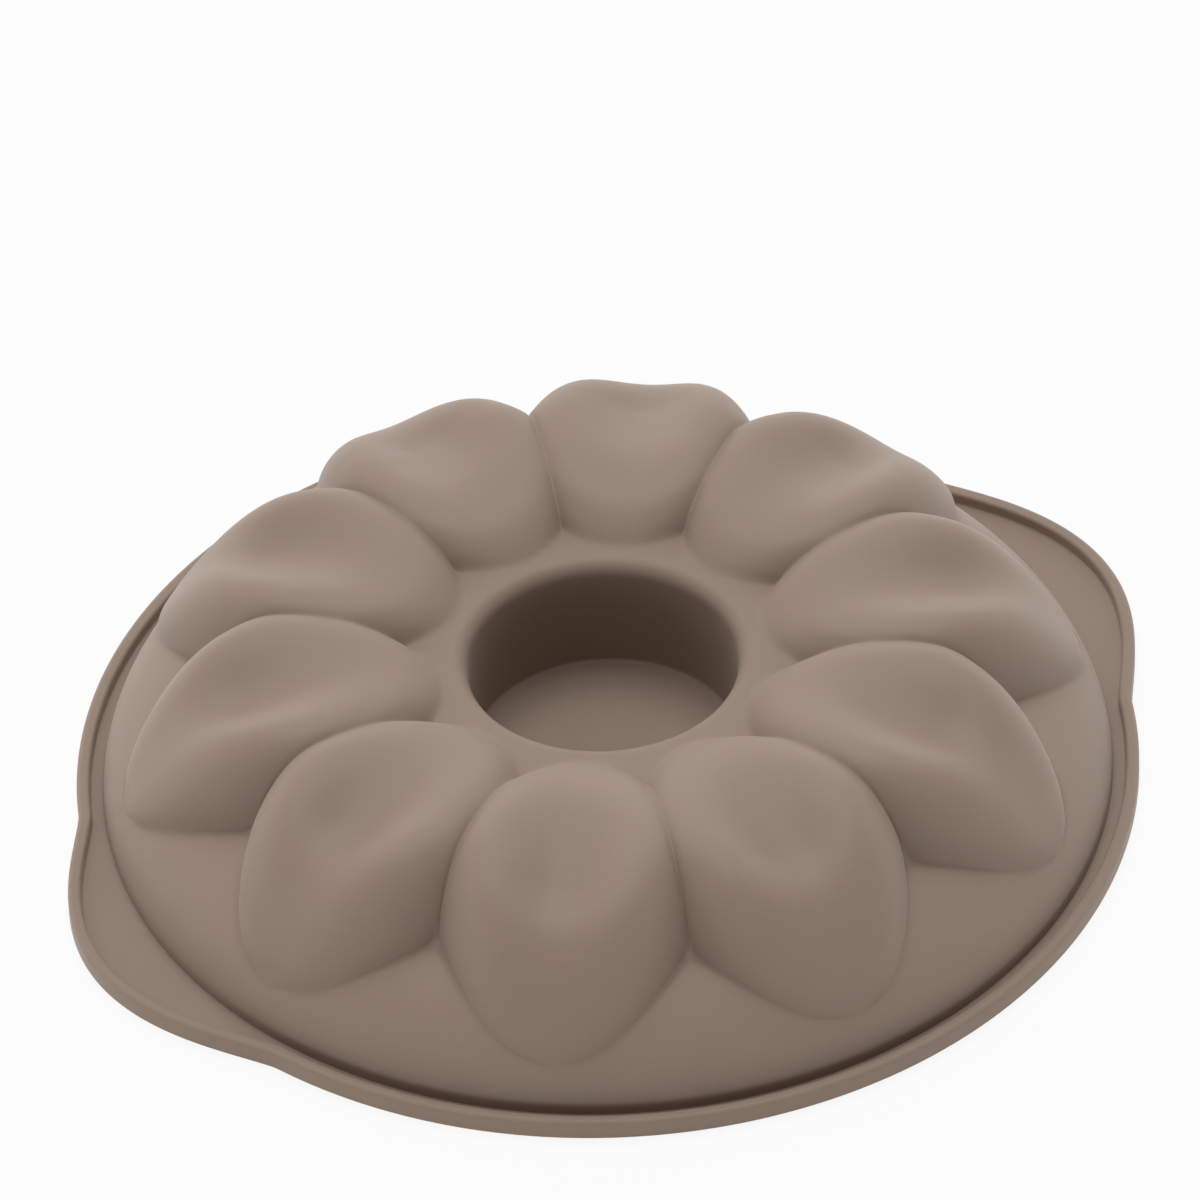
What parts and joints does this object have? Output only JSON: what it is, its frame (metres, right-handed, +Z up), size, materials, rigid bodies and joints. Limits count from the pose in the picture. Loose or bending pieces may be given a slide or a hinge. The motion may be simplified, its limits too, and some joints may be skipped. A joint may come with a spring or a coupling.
{
  "type": "silicone mousse mould",
  "caption": "Flexible silicone ring mould with hollow dished petals round a closed central core, a skirt, a beaded rim and two grip tabs.",
  "frame": {"origin": "centre of the rim's underside, which lies on the table", "axes": "+Z up out of the table, +X through the two grip tabs, a valley between petals on +X and -X"},
  "size_m": [0.2842, 0.26, 0.0488],
  "materials": {
    "silicone": "satin"
  },
  "bodies": {
    "root": {"petal_cup_01": "silicone", "petal_cup_02": "silicone", "petal_cup_03": "silicone", "petal_cup_04": "silicone", "petal_cup_05": "silicone", "petal_cup_06": "silicone", "petal_cup_07": "silicone", "petal_cup_08": "silicone", "petal_cup_09": "silicone", "petal_cup_10": "silicone", "crown_ring": "silicone", "core_wall": "silicone", "core_floor": "silicone", "skirt_ring": "silicone", "rim_flange": "silicone", "rim_bead": "silicone", "grip_tab_left": "silicone", "grip_tab_right": "silicone"}
  },
  "joints": []
}
